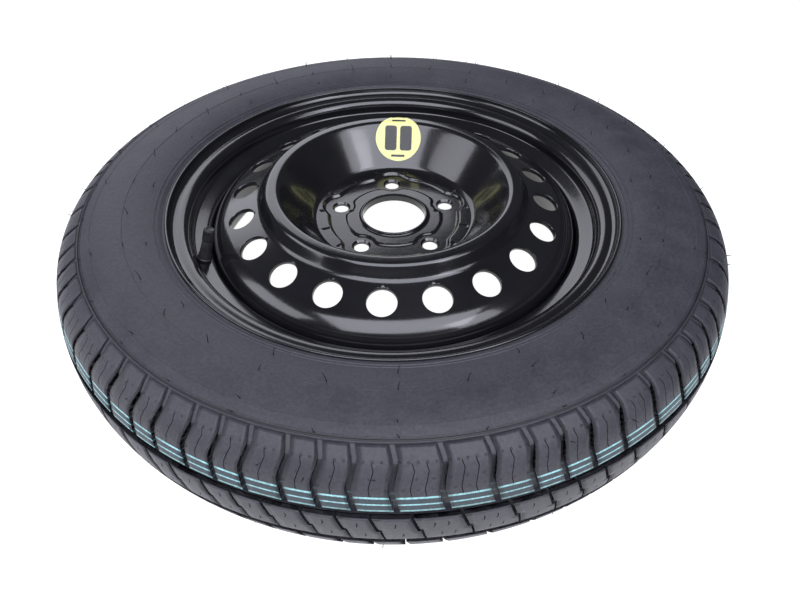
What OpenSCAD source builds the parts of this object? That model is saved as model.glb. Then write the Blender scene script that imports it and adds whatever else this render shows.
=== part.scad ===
// Space saver spare wheel, lying flat with its outboard face up.
// Millimetres. The wheel axis is Z and the origin lies under its centre, on the surface it lies on.

/* [Tyre] */
// Outer diameter of the tyre
tyre_d = 649.4; // [600:1:720]
// Width of the tyre across its sidewalls
section_w = 132; // [128:1:142]
// Radius of the tread's crown, across the tyre
crown_r = 105; // [95:1:130]
// Thickness of rubber under the tread's surface
tread_t = 12; // [10:0.5:14]
// Thickness of the sidewall
sidewall_t = 6; // [5:0.5:8]
// Distance of each main groove from the middle of the tread
groove_z = 19; // [17:0.5:21]
// Width of each main groove
groove_w = 7.5; // [5:0.5:9]
// Depth of the tread pattern
groove_depth = 6; // [4:0.5:7]
// Number of shoulder blocks in one run of the pattern
block_runs = 3; // [2:1:3]
// Width of the grooves between the blocks
slot_w = 4.2; // [2.5:0.1:5]

/* [Rim] */
// Diameter on which the tyre's beads sit
seat_d = 405.6; // [400:0.1:410]
// Width of the rim between its flanges
rim_w = 88.9; // [82:0.1:92]
// Height of the flange above the bead seat
flange_h = 17.5; // [16.5:0.1:18.5]
// Radius of the flange's curl, on the tyre's side
curl_r = 9.5; // [8.5:0.1:10.5]
// Thickness of the rim's sheet
rim_t = 2.8; // [2.2:0.1:3.4]
// Depth of the well below the bead seat
well_depth = 16.7; // [15:0.1:18]
// Width of the bead seat
seat_w = 14.5; // [13:0.1:16]

/* [Disc] */
// Thickness of the disc's sheet
disc_t = 4; // [3:0.1:4.5]
// Height of the bolt pad's outer face above the middle of the tyre
pad_z = 21.9; // [18:0.1:26]
// Diameter of the hub bore
bore_d = 64.1; // [60:0.1:68]
// Diameter of the circle through the bolt holes
bolt_circle_d = 114.3; // [112:0.1:118]
// Number of bolt holes
bolt_count = 5; // [4:1:5]
// Diameter of each bolt hole
bolt_hole_d = 14.6; // [12:0.1:16]
// Radius of the crown of the disc
crown_mid_r = 119; // [117:0.1:121]
// Height of the crown above the middle of the tyre
crown_z = 66; // [62:0.1:68]
// Number of vent holes
vent_count = 20; // [12:1:20]
// Diameter of each vent hole
vent_d = 26; // [18:0.5:28]
// Radius of the circle through the vent holes
vent_circle_r = 150.9; // [149:0.1:153]
// Height of the vent circle above the middle of the tyre
vent_z = 46.9; // [44:0.1:50]
// Height of the disc's skirt
skirt_h = 40; // [34:1:44]
// Height of the bore's lip above the bolt pad
bore_lip_h = 4.1; // [2:0.1:6]

/* [Valve] */
// Angle of the valve round the wheel
valve_angle = 203; // [190:0.5:215]
// Diameter of the valve hole in the rim
valve_hole_d = 11.5; // [11:0.1:12.5]
// Height of the valve above the rim, with its cap
valve_h = 34; // [30:0.5:38]
// Diameter of the valve's thread
stem_d = 7.7; // [7.2:0.1:8.4]
// Diameter of the valve cap
cap_d = 10.4; // [9.8:0.1:12]
// Height of the valve cap
cap_h = 12; // [10.5:0.5:13]
// Travel of the core's pin
pin_travel = 1.4; // [0.8:0.1:1.6]

/* [Label] */
// Diameter of the speed label
label_d = 50; // [40:1:54]
// Angle of the speed label round the wheel
label_angle = 87; // [80:0.5:100]

/* [Hidden] */

// Smoothness of plain circles, and the number of steps in a rounded corner
$fn = 72;
corner_steps = 5;
// Clearance between parts that only touch
gap = 0.1;

rubber_colour = [0.17, 0.17, 0.19];
gloss_black = [0.06, 0.06, 0.065];
brass_colour = [0.72, 0.58, 0.30];

// Height of the middle of the tyre above the surface that the wheel lies on
mid_z = section_w / 2;

// Points on an arc about c, from angle a0 to a1
function arc(c, r, a0, a1, steps) =
    [for (i = [0:steps]) let (a = a0 + (a1 - a0) * i / steps) [c[0] + r * cos(a), c[1] + r * sin(a)]];

// A path of [x, y, radius] corners, each rounded to its radius
function unit(v) = v / norm(v);
function rounded(p) = [for (i = [0:len(p) - 1])
    each (i == 0 || i == len(p) - 1 || p[i][2] == 0 ? [[p[i][0], p[i][1]]] : corner(p[i - 1], p[i], p[i + 1]))];
function corner(a, b, c) =
    let (
        at = [b[0], b[1]],
        u = unit([a[0], a[1]] - at),
        v = unit([c[0], c[1]] - at),
        half = acos(u * v) / 2,
        reach = b[2] / tan(half),
        centre = at + unit(u + v) * b[2] / sin(half),
        from = at + u * reach - centre,
        to = at + v * reach - centre,
        a0 = atan2(from[1], from[0]),
        turn = atan2(to[1], to[0]) - a0,
        sweep = turn > 180 ? turn - 360 : turn < -180 ? turn + 360 : turn
    )
    arc(centre, b[2], a0, a0 + sweep, corner_steps);

// The same path moved sideways by t, to the right of its direction
function side(p, i) =
    let (
        before = unit(p[i] - p[max(i - 1, 0)] + (i == 0 ? p[1] - p[0] : [0, 0])),
        after = unit(i == len(p) - 1 ? p[i] - p[i - 1] : p[i + 1] - p[i]),
        mean = unit(before + after)
    )
    [mean[1], -mean[0]] / (mean * after);
function beside(p, t) = [for (i = [0:len(p) - 1]) p[i] + side(p, i) * t];
function reversed(p) = [for (i = [len(p) - 1:-1:0]) p[i]];
function mirrored(p) = [for (i = [len(p) - 1:-1:0]) [p[i][0], -p[i][1]]];

// A sheet of thickness t, turned about the wheel's axis, from a path on its upper or outer face
module sheet(path, t) {
    rotate_extrude($fn = 180) polygon(concat(path, reversed(beside(path, t))));
}

// Tyre section, from the tread's middle to the bead, as arcs that run smoothly into each other.
// Crown, shoulder and wall are drawn down from the middle of the tread, for one width of tyre
shoulder_r = 38;
wall_r = 70.2;
crown_angle = 21.2;
shoulder_angle = 62;
crown_c = [-crown_r, 0];
shoulder_c = crown_c + (crown_r - shoulder_r) * [cos(crown_angle), sin(crown_angle)];
shoulder_end = shoulder_c + shoulder_r * [cos(shoulder_angle), sin(shoulder_angle)];
wall_c = shoulder_end - wall_r * [cos(shoulder_angle), sin(shoulder_angle)];
drawn_half_w = wall_c[1] + wall_r;
tyre_r = tyre_d / 2;
seat_r = seat_d / 2;
lip_r = seat_r + flange_h;
lip_z = rim_w / 2 + curl_r;
bead_r = lip_r + 2;
// Share of the height from bead to tread that lies outside the widest place
upper_share = 0.563;
widest_r = tyre_r - upper_share * (tyre_r - bead_r);

// A point of these arcs, stretched to the tyre's own width and height
function placed(p) = [tyre_r - p[0] / wall_c[0] * (tyre_r - widest_r), p[1] * section_w / 2 / drawn_half_w];
function skin(c, r, a0, a1, steps, t = 0) =
    [for (i = [0:steps]) let (a = a0 + (a1 - a0) * i / steps, u = [cos(a), sin(a)]) placed(c + r * u) - t * u];

// The lower sidewall turns in until it meets the flange's lip
bead_drop = section_w / 2 - lip_z - 1;
lower_angle = 2 * atan(bead_drop / (widest_r - bead_r));
lower_r = (widest_r - bead_r) / sin(lower_angle);
lower_c = [widest_r, section_w / 2 - lower_r];

// The points start and end a little away from the tread's middle, where a flat band closes the section
outside_path = concat(
    skin(crown_c, crown_r, crown_angle / 7, crown_angle, 3),
    skin(shoulder_c, shoulder_r, crown_angle + 13, shoulder_angle, 2),
    skin(wall_c, wall_r, shoulder_angle + 9, 90, 3),
    arc(lower_c, lower_r, 90 + lower_angle * 0.15, 90 + lower_angle, 3));

// The bead follows the flange and the seat, a clearance away
seat_corner_r = 6.5;
bead_path = rounded([
    [lip_r + gap, lip_z, 0],
    [lip_r + gap, rim_w / 2 - gap, curl_r],
    [seat_r + gap, rim_w / 2 - gap, seat_corner_r + 1],
    [seat_r + gap - seat_w * 0.0875, rim_w / 2 - seat_w, 0]]);
toe = bead_path[len(bead_path) - 1];
inside_path = concat(
    [[toe[0] + 6, toe[1] - 1], [bead_r + 3, rim_w / 2 - 3]],
    arc(lower_c, lower_r - sidewall_t, 90 + lower_angle * 0.8, 90 + lower_angle * 0.15, 3),
    skin(wall_c, wall_r, 90, 78, 2, sidewall_t),
    skin(shoulder_c, shoulder_r, shoulder_angle, crown_angle + 6, 3, tread_t),
    skin(crown_c, crown_r, crown_angle, crown_angle / 5, 2, tread_t));

module tyre_section() {
    half = concat(outside_path, [[bead_r, lip_z + 0.4]], bead_path, inside_path);
    polygon(concat(half, mirrored(half)));
}

// The line between the sidewall and the shoulder blocks
line_angle = 69;
line_w = 1.6;
line_depth = 1.2;

// Angle round the crown at which a height lies, and a point of the tread or wall at its own angle
groove_angle = asin(groove_z / (section_w / 2 / drawn_half_w) / crown_r);
groove_at = placed(crown_c + crown_r * [cos(groove_angle), sin(groove_angle)]);
line_at = placed(wall_c + wall_r * [cos(line_angle), sin(line_angle)]);

module round_grooves() {
    for (flip = [0, 1])
        mirror([0, flip]) {
            translate(groove_at - [groove_depth, groove_w / 2]) square([groove_depth + 4, groove_w]);
            translate(line_at) rotate(line_angle)
                translate([-line_depth, -line_w / 2]) square([line_depth + 3, line_w]);
        }
}

// Angles of the shoulder slots: block lengths follow one run that repeats round the tyre
block_run = [5.05, 4.2, 4.2, 5.05, 4.2, 4.2, 5.05, 6.1, 6.1, 5.05, 4.2, 4.2, 5.05, 6.1, 6.1, 5.05, 4.2,
    4.2, 5.05, 6.1, 6.1, 5.05, 5.05, 4.2];
first_slot_angle = 238.3;
function total(v, n) = n <= 0 ? 0 : v[n - 1] + total(v, n - 1);
run_total = total(block_run, len(block_run));
slot_angles = [for (r = [0:block_runs - 1]) for (i = [0:len(block_run) - 1])
    first_slot_angle + (r + total(block_run, i) / run_total) * 360 / block_runs];

// A bent slot, square to the tread at an angle up its section, from a path of [sideways, upwards] points
module slot(angle, at, tilt, path, w, depth) {
    across = [w / 2, 0];
    rotate([0, 0, angle]) translate([at[0], 0, at[1]]) rotate([0, -tilt, 0]) translate([-depth, 0, 0])
        rotate([90, 0, 90]) linear_extrude(depth + 8)
            polygon(concat([for (p = path) p - across], reversed([for (p = path) p + across])));
}

// Shoulder slots are deep over the shoulder, and run on as shallow channels to the sidewall
deep_tilt = 26;
deep_at = placed(shoulder_c + shoulder_r * [cos(crown_angle), sin(crown_angle)]);
deep_path = [[0.3, groove_z + groove_w / 2 - 43], [-5.1, 5.5], [-1, 20.3]];
channel_tilt = 57;
channel_at = placed(shoulder_c + shoulder_r * [cos(channel_tilt), sin(channel_tilt)]);
channel_path = [[-1.2, -3.6], [-4.2, 5.6]];
channel_depth = 1;
module shoulder_slot(angle) {
    slot(angle, deep_at, deep_tilt, deep_path, slot_w, groove_depth);
    slot(angle, channel_at, channel_tilt, channel_path, slot_w, channel_depth);
}

rib_edge = groove_z - groove_w / 2;
centre_path = [[-3.2, rib_edge + 1], [1.9, 0.6], [3.9, -0.6], [7.3, -rib_edge - 1]];
centre_shift = 2.2;
opposite_shift = 5.6;
module slots() {
    for (a = slot_angles) {
        shoulder_slot(a);
        rotate([0, 0, a + opposite_shift]) rotate([180, 0, 0]) shoulder_slot(0);
        slot(a + centre_shift, [tyre_r, 0], 0, centre_path, slot_w * 0.5, groove_depth);
    }
}

module tyre() color(rubber_colour) translate([0, 0, mid_z])
    difference() {
        rotate_extrude($fn = 180) difference() {
            tyre_section();
            round_grooves();
        }
        slots();
    }

// Rim: one sheet from lip to lip, on the tyre's side
well_r = seat_r - well_depth;
seat_slope = 5;
seat_end = [seat_r - seat_w * tan(seat_slope), rim_w / 2 - seat_w];
shelf_slope = 20;
shelf_end_z = seat_end[1] - (seat_end[0] - well_r) * tan(shelf_slope);
// Height of the well's lower corner above the end of the lower bead seat
well_foot = 4;
well_low_z = well_foot - seat_end[1];
well_inner_r = well_r - rim_t;
rim_path = rounded([
    [lip_r, lip_z + 0.6, 0],
    [lip_r, rim_w / 2, curl_r],
    [seat_r, rim_w / 2, seat_corner_r],
    [seat_end[0], seat_end[1], 6],
    [well_r, shelf_end_z, 4],
    [well_r, well_low_z, 8],
    [seat_end[0], -seat_end[1], 8],
    [seat_r, -rim_w / 2, seat_corner_r],
    [lip_r, -rim_w / 2, curl_r],
    [lip_r, -lip_z - 0.6, 0]]);

// The valve stands square on the shelf between the bead seat and the well
valve_hole_r = (seat_end[0] + well_r) / 2 - rim_t * sin(shelf_slope) - 0.5;
valve_foot_z = seat_end[1] - (seat_end[0] - valve_hole_r) * tan(shelf_slope) + rim_t / cos(shelf_slope);
module at_valve() {
    translate([0, 0, mid_z]) rotate([0, 0, valve_angle]) translate([valve_hole_r, 0, valve_foot_z])
        rotate([0, -shelf_slope, 0]) children();
}

module rim() color(gloss_black) difference() {
    translate([0, 0, mid_z]) sheet(rim_path, rim_t);
    at_valve() translate([0, 0, -12]) cylinder(h = 20, d = valve_hole_d);
}

// Disc: levels of its pressed steps, above the middle of the tyre
pad_face_z = pad_z - disc_t;
collar_z = pad_z + 1.5;
annulus_z = pad_z + 3.1;
bolt_r = bolt_circle_d / 2;
first_bolt_angle = 92;
lobe_r = 18;
pad_in_r = bolt_r - 8.5;
pad_out_r = bolt_r + 9;
skirt_r = well_inner_r - gap / 2;
vent_slope = 20.1;
first_vent_angle = 266;
function slope_z(r) = vent_z - (r - vent_circle_r) * tan(vent_slope);
crown_half = 5.5;
valley_r = crown_mid_r + 13.5;
bowl_foot_r = bolt_r + lobe_r + 6;
// Radius of the bend from the vents' slope down to the skirt
skirt_bend_r = 8;
disc_path = rounded([
    [bolt_r, annulus_z, 0],
    [bowl_foot_r, annulus_z, 10],
    [crown_mid_r - crown_half, crown_z, 7],
    [crown_mid_r + crown_half, crown_z, 6],
    [valley_r, slope_z(valley_r), 9],
    [skirt_r, slope_z(skirt_r), skirt_bend_r],
    [skirt_r, slope_z(skirt_r) - skirt_h, 0]]);

// Outline of the lobed pad that the bolts stand on
module pad_outline(grow) {
    difference() {
        union() {
            circle(r = pad_out_r + grow, $fn = 180);
            at_bolts() circle(r = lobe_r + grow);
        }
        difference() {
            circle(r = pad_in_r - grow, $fn = 180);
            at_bolts() circle(r = lobe_r - 4 + grow);
        }
    }
}
module at_bolts() {
    for (i = [0:bolt_count - 1])
        rotate([0, 0, first_bolt_angle + i * 360 / bolt_count]) translate([bolt_r, 0, 0]) children();
}

// The collar round the hub bore, with its drawn-up lip
lip_t = 2.5;
bore_r = bore_d / 2;
collar_section = concat(
    [[bore_r, pad_face_z], [bore_r, pad_z + bore_lip_h - 0.6], [bore_r + 0.7, pad_z + bore_lip_h]],
    arc([bore_r + lip_t - 1, pad_z + bore_lip_h - 1], 1, 90, 0, 3),
    arc([bore_r + lip_t + 2, collar_z + 2], 2, 180, 270, 3),
    [[bolt_r, collar_z], [bolt_r, collar_z - disc_t], [bore_r + 7, collar_z - disc_t],
        [bore_r + 5, pad_face_z]]);

// Short coined grooves across the step outside the pad, two between each pair of bolts
coin_w = 2.4;
module coined_grooves() {
    for (i = [0:bolt_count - 1], turn = [-9, 9])
        rotate([0, 0, first_bolt_angle + (i + 0.5) * 360 / bolt_count + turn])
            translate([pad_out_r, -coin_w / 2, annulus_z - 0.9])
                cube([bowl_foot_r - pad_out_r - 4, coin_w, 3]);
}

seat_mouth_d = bolt_hole_d + 4.4;
module disc() color(gloss_black) translate([0, 0, mid_z]) difference() {
    union() {
        difference() {
            union() {
                sheet(disc_path, disc_t);
                rotate_extrude($fn = 180) polygon(collar_section);
            }
            translate([0, 0, pad_z]) linear_extrude(30) pad_outline(0);
            coined_grooves();
        }
        translate([0, 0, pad_face_z]) linear_extrude(disc_t) pad_outline(2.5);
    }
    at_bolts() translate([0, 0, pad_face_z - 1]) cylinder(h = disc_t + 4, d = bolt_hole_d);
    at_bolts() translate([0, 0, pad_z - 2]) cylinder(h = 4, d1 = bolt_hole_d, d2 = seat_mouth_d + 4.4);
    for (i = [0:vent_count - 1])
        rotate([0, 0, first_vent_angle + i * 360 / vent_count]) translate([vent_circle_r, 0, vent_z])
            rotate([0, vent_slope, 0]) translate([0, 0, -12]) cylinder(h = 20, d = vent_d);
}

// Fillet welds between the skirt's lower edge and the well
weld_count = 8;
weld_arc = 28;
weld_leg = 4;
weld_r = well_inner_r - gap / 2;
module disc_welds() color([0.10, 0.10, 0.10])
    translate([0, 0, mid_z + slope_z(skirt_r) - skirt_h])
        for (i = [0:weld_count - 1])
            rotate([0, 0, (i + 0.5) * 360 / weld_count - weld_arc / 2])
                rotate_extrude(angle = weld_arc, $fn = 180)
                    polygon(concat([[weld_r, -gap / 2]],
                        arc([weld_r + 1.4, 1.4 - gap / 2], weld_leg + 1.4, 195, 255, 4)));

// Valve, along its own axis from the rim's face at 0
cap_roof = 1.5;
cap_seal_t = 1.2;
seal_space = 0.15;
stem_top = valve_h - cap_roof - cap_seal_t - seal_space;
rubber_top = valve_h - cap_h - 0.6;
stem_in_rubber_r = 3;
stem_foot = -11;
stem_flange_r = 4.2;
stem_flange_t = 1.2;
neck_r = valve_hole_d / 2 - gap / 2;
bulb_r = neck_r + 1;
rubber_top_r = stem_d / 2 + 0.95;

module valve_body() color([0.10, 0.10, 0.11]) at_valve() rotate_extrude()
    polygon(concat(
        [[stem_in_rubber_r, stem_foot + stem_flange_t], [stem_flange_r + gap / 2, stem_foot + stem_flange_t],
            [stem_flange_r + gap / 2, stem_foot], [bulb_r - 1.5, stem_foot], [bulb_r - 0.9, stem_foot + 0.6],
            [bulb_r, -rim_t - 3.6], [bulb_r, -rim_t - 1.6], [bulb_r - 0.7, -rim_t - 1], [neck_r, -rim_t - 0.9],
            [neck_r, 0.35]],
        arc([neck_r - 0.2, 1.75], 1.4, 285, 420, 5),
        [[6, 6.2], [rubber_top_r + 0.5, 8], [rubber_top_r, rubber_top - 0.5],
            [rubber_top_r - 0.5, rubber_top], [stem_in_rubber_r, rubber_top]]));

// Bore of the stem, from the foot up to the thread for the core
air_r = 1.6;
chamber_r = 2;
core_r = 2.6;
taper_z = stem_top - 14;
module valve_stem() color(brass_colour) at_valve() rotate_extrude()
    polygon([[air_r, stem_foot], [stem_flange_r, stem_foot], [stem_flange_r, stem_foot + stem_flange_t - gap],
        [stem_in_rubber_r, stem_foot + stem_flange_t - gap], [stem_in_rubber_r, rubber_top],
        [stem_d / 2, rubber_top + gap],
        [stem_d / 2, stem_top - 0.5], [stem_d / 2 - 0.5, stem_top], [core_r, stem_top],
        [core_r, taper_z + 1.2], [chamber_r, taper_z], [chamber_r, chamber_z + 0.5], [air_r, chamber_z]]);

// Valve core: the barrel is screwed in, and the pin slides through it
pin_r = 0.5;
guide_r = pin_r + 0.06;
barrel_top = stem_top - 1.4;
barrel_thread_z = barrel_top - 4.4;
barrel_low = stem_top - 17.6;
barrel_neck_r = 1.7;
spring_chamber_r = 1.25;
spring_low = barrel_low + 3.4;
// Height of the spring when the pin is pushed right in
spring_closed_len = 5.8;
spring_len = spring_closed_len + pin_travel;
pin_collar_t = 0.6;
seal_low = taper_z + 0.1;
seal_t = 2.2;
module core_barrel() color(brass_colour) at_valve() rotate_extrude()
    polygon([[guide_r, barrel_low], [barrel_neck_r, barrel_low], [barrel_neck_r, seal_low],
        [barrel_neck_r - 0.3, seal_low], [barrel_neck_r - 0.3, seal_low + seal_t],
        [barrel_neck_r, seal_low + seal_t], [barrel_neck_r, barrel_thread_z],
        [core_r - 0.05, barrel_thread_z], [core_r - 0.05, barrel_top], [spring_chamber_r + 0.2, barrel_top],
        [spring_chamber_r + 0.2, barrel_thread_z], [spring_chamber_r, barrel_thread_z - 0.4],
        [spring_chamber_r, spring_low], [guide_r, spring_low]]);

module barrel_seal() color([0.75, 0.20, 0.16]) at_valve() rotate_extrude()
    polygon([[barrel_neck_r - 0.28, seal_low + 0.02], [chamber_r - 0.04, seal_low + 0.02],
        [core_r - 0.06, seal_low + 1.2], [core_r - 0.06, seal_low + seal_t - 0.02],
        [barrel_neck_r - 0.28, seal_low + seal_t - 0.02]]);

cup_t = 1.8;
cup_r = 1.5;
cup_space = 0.1;
cup_top = barrel_low - cup_space;
pin_low = cup_top - cup_t - 0.4;
// The stem's chamber leaves room for the pin and its cup to move down
chamber_z = pin_low - pin_travel - 0.6;
pin_top = stem_top - 0.3;
pin_head_r = 0.75;
collar_r = spring_chamber_r - 0.1;
collar_low = spring_low + spring_len;
module core_pin() color(brass_colour) at_valve() rotate_extrude()
    polygon([[0, pin_low], [pin_r, pin_low], [pin_r, collar_low], [collar_r, collar_low],
        [collar_r, collar_low + pin_collar_t], [pin_r, collar_low + pin_collar_t], [pin_r, pin_top - 0.6],
        [pin_head_r, pin_top - 0.4], [pin_head_r, pin_top], [0, pin_top]]);

plunger_seal_t = 0.8;
module core_plunger() color(brass_colour) at_valve() rotate_extrude()
    polygon([[pin_r, cup_top - cup_t], [cup_r, cup_top - cup_t], [cup_r, cup_top - 0.3],
        [cup_r - 0.25, cup_top - 0.3], [cup_r - 0.25, cup_top - plunger_seal_t],
        [pin_r, cup_top - plunger_seal_t]]);

module plunger_seal() color([0.08, 0.08, 0.08]) at_valve() rotate_extrude()
    polygon([[pin_r + 0.02, cup_top - plunger_seal_t + 0.02], [cup_r - 0.27, cup_top - plunger_seal_t + 0.02],
        [cup_r - 0.27, cup_top], [pin_r + 0.02, cup_top]]);

// Core spring: a coil between the barrel's inner shoulder and the pin's collar
spring_wire_r = 0.13;
spring_mid_r = 0.9;
spring_turns = 8;
spring_steps = 12;
spring_sides = 6;
module core_spring() color([0.75, 0.76, 0.78]) at_valve() {
    rings = spring_turns * spring_steps;
    rise = (spring_len - 2 * spring_wire_r - 2 * gap) / rings;
    points = [for (i = [0:rings], k = [0:spring_sides - 1])
        let (a = i * 360 / spring_steps, b = k * 360 / spring_sides, r = spring_mid_r + spring_wire_r * cos(b))
        [r * cos(a), r * sin(a), spring_low + gap + spring_wire_r + i * rise + spring_wire_r * sin(b)]];
    walls = [for (i = [0:rings - 1], k = [0:spring_sides - 1])
        let (n = (k + 1) % spring_sides, a = i * spring_sides, b = a + spring_sides)
        [a + k, b + k, b + n, a + n]];
    polyhedron(points, concat(walls, [[for (k = [0:spring_sides - 1]) k]],
        [[for (k = [spring_sides - 1:-1:0]) rings * spring_sides + k]]));
}

// Cap: a ribbed cup that screws onto the stem, with a seal washer under its roof
cap_space = 0.08;
cap_rib_count = 12;
cap_low = valve_h - cap_h;
module valve_cap() color([0.07, 0.07, 0.075]) at_valve() difference() {
    rotate_extrude() polygon([[stem_d / 2 + cap_space + 0.5, cap_low], [cap_d / 2 - 0.3, cap_low],
        [cap_d / 2, cap_low + 0.4], [cap_d / 2, valve_h - 1.4], [cap_d / 2 - 0.4, valve_h - 0.5],
        [cap_d / 2 - 1.2, valve_h], [0, valve_h], [0, valve_h - cap_roof],
        [stem_d / 2 + cap_space, valve_h - cap_roof], [stem_d / 2 + cap_space, cap_low + 0.5]]);
    for (i = [0:cap_rib_count - 1])
        rotate([0, 0, i * 360 / cap_rib_count]) translate([cap_d / 2 + 0.35, 0, cap_low + 2.4])
            cylinder(h = cap_h, r = 0.7, $fn = 16);
}

module cap_seal() color([0.12, 0.12, 0.12]) at_valve()
    translate([0, 0, valve_h - cap_roof - cap_seal_t]) difference() {
        cylinder(h = cap_seal_t - gap / 2, r = stem_d / 2 - 0.1);
        translate([0, 0, -1]) cylinder(h = cap_seal_t - 0.4 + 1, r = 1.3);
    }

// Label: a thin film that follows the disc's face, round when seen square to the bowl's wall
label_t = 0.3;
label_r = crown_mid_r - 16.5;
bowl_rise = crown_z - annulus_z;
bowl_run = crown_mid_r - crown_half - bowl_foot_r;
label_z = annulus_z + (label_r - bowl_foot_r) * bowl_rise / bowl_run;
bowl_angle = atan(bowl_rise / bowl_run);
module speed_label() color([0.93, 0.92, 0.45]) translate([0, 0, mid_z]) intersection() {
    sheet(beside(disc_path, -label_t - gap), label_t);
    rotate([0, 0, label_angle]) translate([label_r, 0, label_z]) rotate([0, -bowl_angle, 0])
        translate([0, 0, -14]) cylinder(h = 30, d = label_d);
}

tyre();
rim();
disc();
disc_welds();
valve_body();
valve_stem();
core_barrel();
barrel_seal();
core_pin();
core_plunger();
plunger_seal();
core_spring();
valve_cap();
cap_seal();
speed_label();
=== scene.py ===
import math
import random

import bpy
from mathutils import Matrix, Vector


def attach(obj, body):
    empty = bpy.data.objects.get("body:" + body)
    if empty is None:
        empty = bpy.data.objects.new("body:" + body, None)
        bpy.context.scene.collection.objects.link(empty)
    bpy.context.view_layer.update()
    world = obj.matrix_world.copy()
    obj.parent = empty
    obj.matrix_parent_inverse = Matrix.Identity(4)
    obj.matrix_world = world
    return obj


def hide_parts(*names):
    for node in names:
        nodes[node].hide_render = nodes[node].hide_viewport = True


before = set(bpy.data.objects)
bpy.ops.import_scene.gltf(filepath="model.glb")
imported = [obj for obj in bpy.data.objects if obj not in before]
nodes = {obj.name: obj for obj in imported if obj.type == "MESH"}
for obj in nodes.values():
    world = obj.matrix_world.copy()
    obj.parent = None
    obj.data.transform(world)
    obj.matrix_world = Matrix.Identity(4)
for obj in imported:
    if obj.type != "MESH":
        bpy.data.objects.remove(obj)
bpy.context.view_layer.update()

# Lengths below are in millimetres, heights above the middle of the tyre, angles in degrees
MM = 0.001
MIDDLE = 66.0


def only(piece):
    """Leaves one piece selected and active."""
    bpy.ops.object.select_all(action="DESELECT")
    piece.select_set(True)
    bpy.context.view_layer.objects.active = piece


def editing(piece):
    only(piece)
    bpy.ops.object.mode_set(mode="EDIT")


def done():
    bpy.ops.object.mode_set(mode="OBJECT")


def named(name):
    piece = bpy.context.active_object
    piece.name = name
    piece.data.name = name
    return piece


def clean(piece):
    """Merges doubles and turns the faces outwards."""
    editing(piece)
    bpy.ops.mesh.select_all(action="SELECT")
    bpy.ops.mesh.remove_doubles(threshold=1e-6)
    bpy.ops.mesh.normals_make_consistent(inside=False)
    done()


def smooth(piece, angle=30):
    only(piece)
    bpy.ops.object.shade_smooth_by_angle(angle=math.radians(angle))


def apply_modifier(piece, kind, **settings):
    only(piece)
    modifier = piece.modifiers.new(kind.lower(), kind)
    for key, value in settings.items():
        setattr(modifier, key, value)
    bpy.ops.object.modifier_apply(modifier=modifier.name)


def join(pieces, name):
    only(pieces[0])
    for piece in pieces:
        piece.select_set(True)
    bpy.ops.object.join()
    return named(name)


def select_where(piece, test):
    """Selects the faces whose centre and normal pass the test, in edit mode."""
    done()
    for face in piece.data.polygons:
        face.select = bool(test(face.center, face.normal))
    bpy.ops.object.mode_set(mode="EDIT")


def unit(x, y):
    size = math.hypot(x, y)
    return x / size, y / size


def arc(centre, radius, start, end, steps):
    return [(centre[0] + radius * math.cos(math.radians(start + (end - start) * i / steps)),
             centre[1] + radius * math.sin(math.radians(start + (end - start) * i / steps)))
            for i in range(steps + 1)]


def rounded(corners, degrees_a_step=9):
    """A path of (x, y, radius) corners, each rounded to its radius."""
    path = []
    for i, (x, y, radius) in enumerate(corners):
        if i in (0, len(corners) - 1) or radius == 0:
            path.append((x, y))
            continue
        u = unit(corners[i - 1][0] - x, corners[i - 1][1] - y)
        v = unit(corners[i + 1][0] - x, corners[i + 1][1] - y)
        half = math.acos(max(-1, min(1, u[0] * v[0] + u[1] * v[1]))) / 2
        mean = unit(u[0] + v[0], u[1] + v[1])
        reach, out = radius / math.tan(half), radius / math.sin(half)
        centre = (x + mean[0] * out, y + mean[1] * out)
        start = math.degrees(math.atan2(y + u[1] * reach - centre[1], x + u[0] * reach - centre[0]))
        end = math.degrees(math.atan2(y + v[1] * reach - centre[1], x + v[0] * reach - centre[0]))
        sweep = (end - start + 180) % 360 - 180
        path += arc(centre, radius, start, start + sweep, max(2, round(abs(sweep) / degrees_a_step)))
    return path


def beside(path, offset):
    """The path moved sideways, to the right of its direction."""
    moved = []
    for i, (x, y) in enumerate(path):
        before = path[max(i - 1, 0)]
        after = path[min(i + 1, len(path) - 1)]
        a = unit(x - before[0], y - before[1]) if i else unit(after[0] - x, after[1] - y)
        b = unit(after[0] - x, after[1] - y) if i < len(path) - 1 else a
        mean = unit(a[0] + b[0], a[1] + b[1])
        stretch = mean[0] * b[0] + mean[1] * b[1]
        moved.append((x + mean[1] * offset / stretch, y - mean[0] * offset / stretch))
    return moved


def parted(path, longest):
    """The path with its long stretches parted into shorter ones."""
    fine = [path[0]]
    for (x0, y0), (x1, y1) in zip(path, path[1:]):
        parts = max(1, math.ceil(math.hypot(x1 - x0, y1 - y0) / longest))
        fine += [(x0 + (x1 - x0) * k / parts, y0 + (y1 - y0) * k / parts) for k in range(1, parts + 1)]
    return fine


def spun(name, section, steps):
    """A closed section of (radius, height) points, laid on a circle's vertices and spun about Z."""
    bpy.ops.object.select_all(action="DESELECT")
    bpy.ops.mesh.primitive_circle_add(vertices=len(section), radius=1, fill_type="NOTHING")
    piece = named(name)
    for vertex, (r, z) in zip(piece.data.vertices, section):
        vertex.co = (r * MM, 0, z * MM)
    editing(piece)
    bpy.ops.mesh.select_all(action="SELECT")
    bpy.ops.mesh.spin(steps=steps, angle=math.tau, center=(0, 0, 0), axis=(0, 0, 1))
    done()
    clean(piece)
    return piece


def turned(name, section, steps):
    """A section with heights above the middle of the tyre, spun about the wheel's axis."""
    return spun(name, [(r, z + MIDDLE) for r, z in section], steps)


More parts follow.
